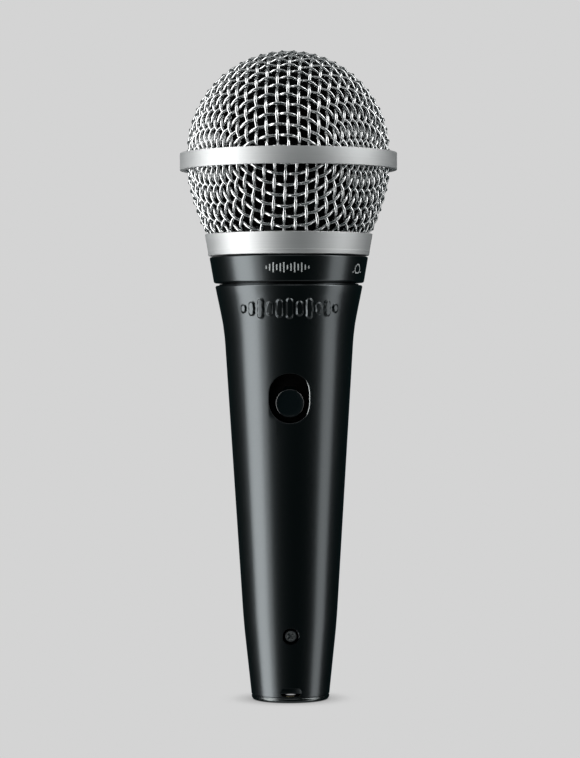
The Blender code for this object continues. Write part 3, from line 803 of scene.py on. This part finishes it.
def printed(name, strokes, width, turn, materials):
    """Ink lines on the band, round a place a turn in degrees from the front.

    Each stroke is a run of (across, height) points in millimetres."""
    points, faces = [], []

    def on_band(across, height, lift):
        radius = profile_radius(BAND_CONE, height)
        angle = math.radians(turn) + across / radius
        radius += lift
        return radius * math.sin(angle), -radius * math.cos(angle), height
    for stroke in strokes:
        run = np.array(stroke, float)
        along = np.gradient(run, axis=0)
        along /= np.linalg.norm(along, axis=1)[:, None]
        side = np.column_stack([along[:, 1], -along[:, 0]]) * width / 2
        first = len(points)
        for here, off in zip(run, side):
            corners = [here + off, here - off]
            points += [on_band(x, z, lift) for lift in (-0.02, 0.02) for x, z in corners]
        for k in range(len(run) - 1):
            a, b = first + 4 * k, first + 4 * (k + 1)
            faces += [(a, b, b + 1, a + 1), (a + 2, a + 3, b + 3, b + 2),
                      (a, a + 2, b + 2, b), (a + 1, b + 1, b + 3, a + 3)]
        end = first + 4 * (len(run) - 1)
        faces += [(first, first + 1, first + 3, first + 2), (end, end + 2, end + 3, end + 1)]
    make_piece(name, points, faces, materials["ink"], "band", "black_paint")


def build_prints(materials):
    """Two generic prints: a row of level strokes in front, and a pickup pattern at the side."""
    middle, pitch = 106.95, 0.87
    lengths = [0.8, 1.6, 2.4, 1.4, 2.0, 2.4, 1.0, 1.8, 2.4, 1.6, 2.2, 1.2, 0.7]
    strokes = []
    for k, length in enumerate(lengths):
        across = pitch * (k - len(lengths) // 2)
        strokes.append([(across, middle - length / 2), (across, middle + length / 2)])
    printed("level_print", strokes, 0.30, -1.5, materials)

    lobe, foot = [], middle - 1.0
    for angle in (math.radians(10 * k) for k in range(37)):
        reach = 0.95 * (1 + math.sin(angle))
        lobe.append((reach * math.cos(angle), foot + reach * math.sin(angle)))
    axis = [[(x, foot), (x + 0.55, foot)] for x in (-2.2, 1.65)]
    printed("pattern_print", [lobe, *axis], 0.26, 61.0, materials)


def build_button(materials):
    """The knob with its raised rim and dished face, and its stem through the plate."""
    rim, top, round_over = KNOB_RADIUS, KNOB_TOP, 0.20
    outline = [(0.0, 0.0), (rim, 0.0), (rim, top - round_over - 0.01),
               *arc((rim - round_over, top - round_over), round_over, 0, 90, 6),
               (rim - 0.30, top - 0.01), (rim - 0.36, top - 0.05), (2.0, top - 0.10),
               (1.0, top - 0.14), (0.0, top - 0.15)]
    place = (BUTTON_FRAME @ Matrix.Translation((0, KNOB_FOOT * MM, KNOB_REST * MM))
             @ Matrix.Rotation(math.radians(90), 4, "X"))
    points, faces = swept(outline, even_angles(96))
    make_piece("button_cap", points, faces, materials["knob"], "button", "black_plastic",
               ("switch_knob",), place=place)

    near, far = KNOB_FOOT + 0.1, 6.6
    section = rounded_rectangle(1.1, 1.1, 0.25, 3)
    stem = [(x, y, z) for y in (near, far) for x, z in section]
    count = len(section)
    faces = [[k, (k + 1) % count, count + (k + 1) % count, count + k] for k in range(count)]
    faces += [list(range(count))[::-1], list(range(count, 2 * count))]
    make_piece("button_stem", stem, faces, materials["plastic"], "button", "black_plastic",
               place=BUTTON_FRAME @ Matrix.Translation((0, 0, KNOB_REST * MM)))


# ------------------------------------------------------------------ cartridge's mount and leads


def build_shock_mount(materials):
    """The elastic ring under the cartridge, with a fold in its side."""
    outline = rounded([
        (12.6, 102.6), (13.6, 102.6), (13.6, 103.6), (13.2, 104.4), (13.9, 105.4), (13.9, 107.6),
        (13.5, 108.1), (11.9, 108.1), (11.9, 106.9), (13.2, 105.7), (12.5, 104.4), (12.1, 103.6),
    ], 0.3)
    ring = lathe("rubber_mount", outline, materials["rubber"], None, 120, slot="rubber",
                 replaces=("shock_mount",))
    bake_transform(ring)


def build_cartridge_leads(materials):
    """The two leads to the cartridge, as copies of the CAD's."""
    for name, finish in (("hot", "red"), ("cold", "green")):
        node = f"lead_cartridge_{name}"
        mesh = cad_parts[node].data.copy()
        mesh.materials.clear()
        mesh.materials.append(materials[finish])
        mesh.shade_smooth()
        lead = linked(f"cartridge_lead_{name}", mesh)
        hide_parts(node)
        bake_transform(lead)


# ------------------------------------------------------------------ connector


def build_connector(materials):
    """The three contact pins, with their tips rounded over."""
    for number in (1, 2, 3):
        low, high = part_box(f"connector_pin_{number}")
        middle = (low + high) / 2 / MM
        tip, end, radius = low.z / MM, high.z / MM, 1.19
        outline = [(0.0, tip), (0.35, tip + 0.03), (0.7, tip + 0.2), (1.0, tip + 0.5),
                   (radius, tip + 1.0), (radius, end - 0.1), (radius - 0.1, end), (0.0, end)]
        points, faces = swept(outline, even_angles(40))
        points = [(x + middle.x, y + middle.y, z) for x, y, z in points]
        make_piece(f"contact_pin_{number}", points, faces, materials["contact"], "handle",
                   "contact", (f"connector_pin_{number}",))


def build_screw(materials):
    """The screw that holds the insert: a low crowned head with a cross recess."""
    head, shank = 1.42, -4.0
    crown = [(0.1 * k, 1.34 - 0.05 * (0.1 * k) ** 2) for k in range(13)]
    outline = [*crown, (1.34, 1.20), (head, 1.06), (head, shank), (0.0, shank)]
    points, faces = swept(outline, even_angles(96))

    def recessed(x, y, z):
        """A point of the screw, sunk where the cross lies."""
        if z < 1.0:
            return x, y, z
        across = min(abs(x - y), abs(x + y)) / math.sqrt(2)
        cut = 1.0 - smooth_step(across, 0.15, 0.24)
        cut *= 1.0 - smooth_step(math.hypot(x, y), 0.78, 0.98)
        return x, y, z - 0.5 * cut
    depth = profile_radius(HANDLE_OUTSIDE, SCREW_HEIGHT) - 2.25
    place = (Matrix.Translation((0, -depth * MM, SCREW_HEIGHT * MM))
             @ Matrix.Rotation(math.radians(90), 4, "X"))
    make_piece("grub_screw", [recessed(*p) for p in points], faces, materials["zinc"], "handle",
               "steel", ("insert_screw",), place=place, sharp=35)


# ------------------------------------------------------------------ stage


def area_light(name, place, aim, width, height, radiance):
    """A soft light of one even radiance that the camera doesn't see."""
    light = bpy.data.lights.new(name, "AREA")
    light.shape = "RECTANGLE"
    light.size, light.size_y = width, height
    light.energy = radiance * math.pi * width * height
    thing = linked(name, light)
    thing.location = place
    thing.rotation_euler = (Vector(aim) - Vector(place)).to_track_quat("-Z", "Y").to_euler()
    thing.visible_camera = False


def softbox(name, azimuth, distance, width, low, high, radiance):
    """A tall upright light that faces the microphone; azimuth is in degrees from -Y towards +X."""
    turn, middle = math.radians(azimuth), (low + high) / 2
    place = (distance * math.sin(turn), -distance * math.cos(turn), middle)
    area_light(name, place, (0.0, 0.0, middle), width, high - low, radiance)


def make_lights():
    """Tall softboxes at both sides, weak lights that fill between them, and a dim world."""
    softbox("key_left", -73.0, 1.3, 0.80, -1.4, 2.4, 3.8)
    softbox("fringe_left", -50.0, 1.32, 0.34, -0.9, 1.3, 1.3)
    softbox("key_right", 77.0, 1.3, 0.62, -1.4, 2.4, 1.55)
    softbox("upper_right", 77.0, 1.28, 0.62, 0.35, 2.4, 2.5)
    area_light("overhead", (0.0, 0.0, 1.3), (0.0, 0.0, 0.0), 1.8, 1.8, 0.12)
    area_light("from_below", (0.0, 0.0, -0.6), (0.0, 0.0, 0.0), 0.9, 0.9, 0.22)
    area_light("front_top", (0.0, -0.95, 1.15), (0.0, 0.0, 0.12), 1.0, 1.0, 0.44)
    world = bpy.data.worlds.new("studio")
    world.use_nodes = True
    world.node_tree.nodes["Background"].inputs["Color"].default_value = (0.003, 0.012, 0.013, 1.0)
    bpy.context.scene.world = world


def only_seen(thing):
    """Leaves a stage piece to the camera alone, so that it neither lights nor shadows."""
    thing.visible_diffuse = False
    thing.visible_glossy = False
    thing.visible_transmission = False
    thing.visible_shadow = False


def spot_mask(tree, middle, reach, soft):
    """1 inside an ellipse of the floor and 0 outside it."""
    place = tree.nodes.new("ShaderNodeTexCoord")
    mapping = tree.nodes.new("ShaderNodeMapping")
    mapping.vector_type = "TEXTURE"
    mapping.inputs["Location"].default_value = (middle[0] * MM, middle[1] * MM, 0.0)
    mapping.inputs["Scale"].default_value = (reach[0] * MM, reach[1] * MM, 1.0)
    gradient = tree.nodes.new("ShaderNodeTexGradient")
    gradient.gradient_type = "SPHERICAL"
    span = tree.nodes.new("ShaderNodeMapRange")
    span.inputs["From Max"].default_value = soft
    tree.links.new(place.outputs["Object"], mapping.inputs["Vector"])
    tree.links.new(mapping.outputs["Vector"], gradient.inputs["Vector"])
    tree.links.new(gradient.outputs["Fac"], span.inputs["Value"])
    return span.outputs["Result"]


def floor_mask(tree):
    """The floor's strength: unlit under the socket, but for the spot that the latch slot lights."""
    under = spot_mask(tree, (0.0, 0.0), (9.2, 9.2), 0.05)
    spot = spot_mask(tree, (0.1, 7.2), (1.35, 1.3), 0.4)
    dark = tree.nodes.new("ShaderNodeMath")
    dark.operation = "SUBTRACT"
    dark.use_clamp = True
    tree.links.new(under, dark.inputs[0])
    tree.links.new(spot, dark.inputs[1])
    lit = tree.nodes.new("ShaderNodeMath")
    lit.operation = "SUBTRACT"
    lit.inputs[0].default_value = 1.0
    tree.links.new(dark.outputs["Value"], lit.inputs[1])
    return lit.outputs["Value"]


PALE = (0.658, 0.658, 0.658, 1.0)  # the floor and the backdrop


def glowing(name):
    """A material that only glows, with its nodes for the glow and the output."""
    material = bpy.data.materials.new(name)
    material.use_nodes = True
    tree = material.node_tree
    tree.nodes.clear()
    output = tree.nodes.new("ShaderNodeOutputMaterial")
    glow = tree.nodes.new("ShaderNodeEmission")
    glow.inputs["Color"].default_value = PALE
    tree.links.new(glow.outputs["Emission"], output.inputs["Surface"])
    return material, glow, output


def floor_material():
    """The pale floor with a contact shadow, which is clear from below."""
    material, glow, output = glowing("floor")
    tree = material.node_tree
    shade = tree.nodes.new("ShaderNodeAmbientOcclusion")
    shade.inputs["Distance"].default_value = 9 * MM
    shade.samples = 8
    ramp = tree.nodes.new("ShaderNodeValToRGB")
    ramp.color_ramp.elements[0].color = (0.12, 0.12, 0.12, 1.0)
    ramp.color_ramp.elements[1].color = PALE
    ramp.color_ramp.elements[1].position = 0.9
    tree.links.new(shade.outputs["AO"], ramp.inputs["Fac"])
    tree.links.new(floor_mask(tree), glow.inputs["Strength"])
    tree.links.new(ramp.outputs["Color"], glow.inputs["Color"])
    clear = tree.nodes.new("ShaderNodeBsdfTransparent")
    side = tree.nodes.new("ShaderNodeNewGeometry")
    mix = tree.nodes.new("ShaderNodeMixShader")
    tree.links.new(side.outputs["Backfacing"], mix.inputs["Fac"])
    tree.links.new(glow.outputs["Emission"], mix.inputs[1])
    tree.links.new(clear.outputs["BSDF"], mix.inputs[2])
    tree.links.new(mix.outputs["Shader"], output.inputs["Surface"])
    return material


def stage_piece(name, bm, material):
    mesh = bpy.data.meshes.new(name)
    bm.to_mesh(mesh)
    bm.free()
    mesh.materials.append(material)
    thing = linked(name, mesh)
    only_seen(thing)


def build_stage():
    """The floor, and the backdrop as a ball round it all."""
    floor = bmesh.new()
    bmesh.ops.create_grid(floor, x_segments=1, y_segments=1, size=3.0)
    stage_piece("floor", floor, floor_material())
    backdrop = bmesh.new()
    bmesh.ops.create_icosphere(backdrop, subdivisions=4, radius=4.5)
    stage_piece("backdrop", backdrop, glowing("backdrop")[0])


def main():
    make_camera()
    materials = make_materials()
    for finish, nodes in CAD_FINISH.items():
        for node in nodes:
            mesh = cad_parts[node].data
            mesh.materials.clear()
            mesh.materials.append(materials[finish])
    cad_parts["connector_insert"].material_slots[0].material = materials["plastic"]
    build_handle(materials)
    build_neck(materials)
    build_band(materials)
    build_prints(materials)
    build_grille(materials)
    build_button(materials)
    build_shock_mount(materials)
    build_cartridge_leads(materials)
    build_connector(materials)
    build_screw(materials)
    build_stage()
    make_lights()
    bpy.context.scene.view_settings.view_transform = "Standard"


main()
